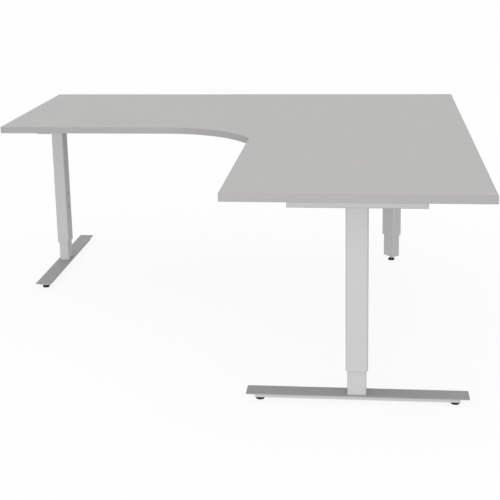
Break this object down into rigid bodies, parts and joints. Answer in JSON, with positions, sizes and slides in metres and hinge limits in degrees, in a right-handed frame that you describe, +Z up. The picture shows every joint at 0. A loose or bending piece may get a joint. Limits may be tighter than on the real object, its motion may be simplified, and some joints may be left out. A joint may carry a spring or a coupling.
{
  "type": "height adjustable corner desk",
  "caption": "L-shaped sit-stand corner desk with a curved inner edge on three telescopic steel columns, two with flat T feet and one on a levelling glide.",
  "frame": {"origin": "on the floor, at the centre of the footprint (the desktop and the left foot, which stands out behind it)", "axes": "+X to the right along the back wing, +Y to the back, +Z up; the user sits in the notch at -X and -Y"},
  "size_m": [1.8, 1.84, 0.72],
  "materials": {
    "laminate": "light grey melamine on particle board, fine low sheen",
    "edge_band": "grey ABS edge band, satin",
    "column_paint": "silver grey powder coat, satin",
    "frame_paint": "silver grey powder coat, satin",
    "foot_paint": "silver grey powder coat, satin",
    "light_plastic": "moulded grey plastic",
    "dark_plastic": "moulded black plastic",
    "button_plastic": "dark grey button, fine texture",
    "glide_plastic": "black moulded glide on a steel stud",
    "lead_pvc": "black PVC sheath",
    "zinc_steel": "zinc plated",
    "spindle_steel": "rolled trapezoidal thread, greased",
    "motor_steel": "black drawn steel can",
    "cast_alloy": "die cast alloy",
    "nut_plastic": "acetal",
    "plug_steel": "plain steel"
  },
  "bodies": {
    "left_leg": {"left_inner_tube": "column_paint", "left_spindle_nut": "nut_plastic", "left_slide_pad": "dark_plastic", "left_tube_plug": "plug_steel", "left_foot_plate": "foot_paint", "left_foot_beam": "frame_paint", "left_foot_bolts": "zinc_steel", "left_glide_nuts": "zinc_steel"},
    "desk": {"desk_top": "laminate", "edge_band": "edge_band", "left_bracket": "frame_paint", "right_bracket": "frame_paint", "corner_bracket": "frame_paint", "bracket_end_caps": "light_plastic", "bracket_screws": "zinc_steel", "back_rail": "frame_paint", "side_rail": "frame_paint", "rail_bolts": "zinc_steel", "left_outer_tube": "column_paint", "right_outer_tube": "column_paint", "corner_outer_tube": "column_paint", "hole_plugs": "dark_plastic", "left_guide_bush": "dark_plastic", "right_guide_bush": "dark_plastic", "corner_guide_bush": "dark_plastic", "left_gearbox": "cast_alloy", "right_gearbox": "cast_alloy", "corner_gearbox": "cast_alloy", "left_motor": "motor_steel", "right_motor": "motor_steel", "corner_motor": "motor_steel", "control_box": "dark_plastic", "mains_inlet": "dark_plastic", "accessory_screws": "zinc_steel", "motor_leads": "lead_pvc", "handset_lead": "lead_pvc", "lead_clips": "dark_plastic", "handset_housing": "dark_plastic"},
    "right_leg": {"right_inner_tube": "column_paint", "right_spindle_nut": "nut_plastic", "right_slide_pad": "dark_plastic", "right_tube_plug": "plug_steel", "right_foot_plate": "foot_paint", "right_foot_beam": "frame_paint", "right_foot_bolts": "zinc_steel", "right_glide_nuts": "zinc_steel"},
    "corner_leg": {"corner_inner_tube": "column_paint", "corner_spindle_nut": "nut_plastic", "corner_slide_pad": "dark_plastic", "corner_tube_plug": "plug_steel"},
    "left_spindle": {"left_spindle": "spindle_steel"},
    "right_spindle": {"right_spindle": "spindle_steel"},
    "corner_spindle": {"corner_spindle": "spindle_steel"},
    "left_front_glide": {"left_front_glide": "glide_plastic"},
    "left_back_glide": {"left_back_glide": "glide_plastic"},
    "right_inner_glide": {"right_inner_glide": "glide_plastic"},
    "right_outer_glide": {"right_outer_glide": "glide_plastic"},
    "corner_glide": {"corner_glide": "glide_plastic"},
    "up_button": {"up_button": "button_plastic"},
    "down_button": {"down_button": "button_plastic"}
  },
  "joints": [
    {"name": "lift", "type": "slide", "parent": "left_leg", "child": "desk", "axis": [0, 0, 1], "range_m": [-0.075, 0.34]},
    {"name": "right_leg_slide", "type": "slide", "parent": "desk", "child": "right_leg", "axis": [0, 0, -1], "range_m": [-0.075, 0.34]},
    {"name": "corner_leg_slide", "type": "slide", "parent": "desk", "child": "corner_leg", "axis": [0, 0, -1], "range_m": [-0.075, 0.34]},
    {"name": "left_spindle_spin", "type": "hinge", "parent": "desk", "child": "left_spindle", "pos_m": [-0.816, 0.57, 0.5], "axis": [0, 0, 1], "range_deg": [-2251, 10201]},
    {"name": "right_spindle_spin", "type": "hinge", "parent": "desk", "child": "right_spindle", "pos_m": [0.5, -0.737, 0.5], "axis": [0, 0, 1], "range_deg": [-2251, 10201]},
    {"name": "corner_spindle_spin", "type": "hinge", "parent": "desk", "child": "corner_spindle", "pos_m": [0.636, 0.698, 0.5], "axis": [0, 0, 1], "range_deg": [-2251, 10201]},
    {"name": "left_front_glide_screw", "type": "slide", "parent": "left_leg", "child": "left_front_glide", "axis": [0, 0, 1], "range_m": [-0.006, 0]},
    {"name": "left_back_glide_screw", "type": "slide", "parent": "left_leg", "child": "left_back_glide", "axis": [0, 0, 1], "range_m": [-0.006, 0]},
    {"name": "right_inner_glide_screw", "type": "slide", "parent": "right_leg", "child": "right_inner_glide", "axis": [0, 0, 1], "range_m": [-0.006, 0]},
    {"name": "right_outer_glide_screw", "type": "slide", "parent": "right_leg", "child": "right_outer_glide", "axis": [0, 0, 1], "range_m": [-0.006, 0]},
    {"name": "corner_glide_screw", "type": "slide", "parent": "corner_leg", "child": "corner_glide", "axis": [0, 0, 1], "range_m": [-0.01, 0.006]},
    {"name": "up_button_press", "type": "slide", "parent": "desk", "child": "up_button", "axis": [1, 0, 0], "range_m": [0, 0.0015], "stiffness_N_per_m": 500},
    {"name": "down_button_press", "type": "slide", "parent": "desk", "child": "down_button", "axis": [1, 0, 0], "range_m": [0, 0.0015], "stiffness_N_per_m": 500}
  ],
  "couplings": [
    {"joint": "right_leg_slide", "follows": "lift", "ratio": 1},
    {"joint": "corner_leg_slide", "follows": "lift", "ratio": 1},
    {"joint": "left_spindle_spin", "follows": "lift", "rad_per_m": 523.6},
    {"joint": "right_spindle_spin", "follows": "lift", "rad_per_m": 523.6},
    {"joint": "corner_spindle_spin", "follows": "lift", "rad_per_m": 523.6}
  ]
}
